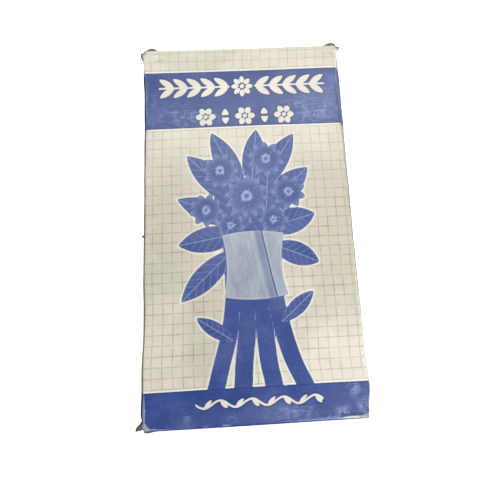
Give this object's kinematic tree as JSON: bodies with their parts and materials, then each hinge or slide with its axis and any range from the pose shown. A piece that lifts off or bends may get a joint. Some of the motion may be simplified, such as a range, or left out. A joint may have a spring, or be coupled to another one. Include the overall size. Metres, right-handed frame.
{
  "type": "printed folding carton for an abdominal binder",
  "caption": "Flat printed board carton for a folded binder: a glued sleeve closed at each end by a creased lid with a tuck flap, over dust flaps.",
  "frame": {"origin": "middle of the back panel's outer face, on which the carton lies", "axes": "+Z from the back panel to the front panel, +Y towards the head end, +X towards the right side panel seen from the front"},
  "size_m": [0.1443, 0.244, 0.0476],
  "materials": {
    "sleeve_board": "cream printed board with a thin grey grid and blue bands, softly glossy and scuffed",
    "glue_flap_board": "grey unprinted board, matte",
    "head_lid_board": "cream printed board with a thin grey grid",
    "foot_lid_board": "blue printed board",
    "tuck_flap_board": "cream board, unprinted",
    "dust_flap_board": "cream board, unprinted"
  },
  "bodies": {
    "sleeve": {"sleeve": "sleeve_board", "glue_flap": "glue_flap_board"},
    "head_lid": {"head_lid": "head_lid_board", "head_tuck_flap": "tuck_flap_board"},
    "foot_lid": {"foot_lid": "foot_lid_board", "foot_tuck_flap": "tuck_flap_board"},
    "head_dust_flap_left": {"head_dust_flap_left": "dust_flap_board"},
    "head_dust_flap_right": {"head_dust_flap_right": "dust_flap_board"},
    "foot_dust_flap_left": {"foot_dust_flap_left": "dust_flap_board"},
    "foot_dust_flap_right": {"foot_dust_flap_right": "dust_flap_board"}
  },
  "joints": [
    {"name": "head_lid_crease", "type": "hinge", "parent": "sleeve", "child": "head_lid", "pos_m": [0, 0.1217, 0.0447], "axis": [1, 0, 0], "range_deg": [0, 180]},
    {"name": "foot_lid_crease", "type": "hinge", "parent": "sleeve", "child": "foot_lid", "pos_m": [0, -0.1217, 0.0447], "axis": [-1, 0, 0], "range_deg": [0, 180]},
    {"name": "head_dust_flap_left_crease", "type": "hinge", "parent": "sleeve", "child": "head_dust_flap_left", "pos_m": [-0.0653, 0.12075, 0.0225], "axis": [0, 0, -1], "range_deg": [0, 75]},
    {"name": "head_dust_flap_right_crease", "type": "hinge", "parent": "sleeve", "child": "head_dust_flap_right", "pos_m": [0.0653, 0.12075, 0.0225], "axis": [0, 0, 1], "range_deg": [0, 75]},
    {"name": "foot_dust_flap_left_crease", "type": "hinge", "parent": "sleeve", "child": "foot_dust_flap_left", "pos_m": [-0.0653, -0.12075, 0.0225], "axis": [0, 0, 1], "range_deg": [0, 75]},
    {"name": "foot_dust_flap_right_crease", "type": "hinge", "parent": "sleeve", "child": "foot_dust_flap_right", "pos_m": [0.0653, -0.12075, 0.0225], "axis": [0, 0, -1], "range_deg": [0, 75]}
  ]
}
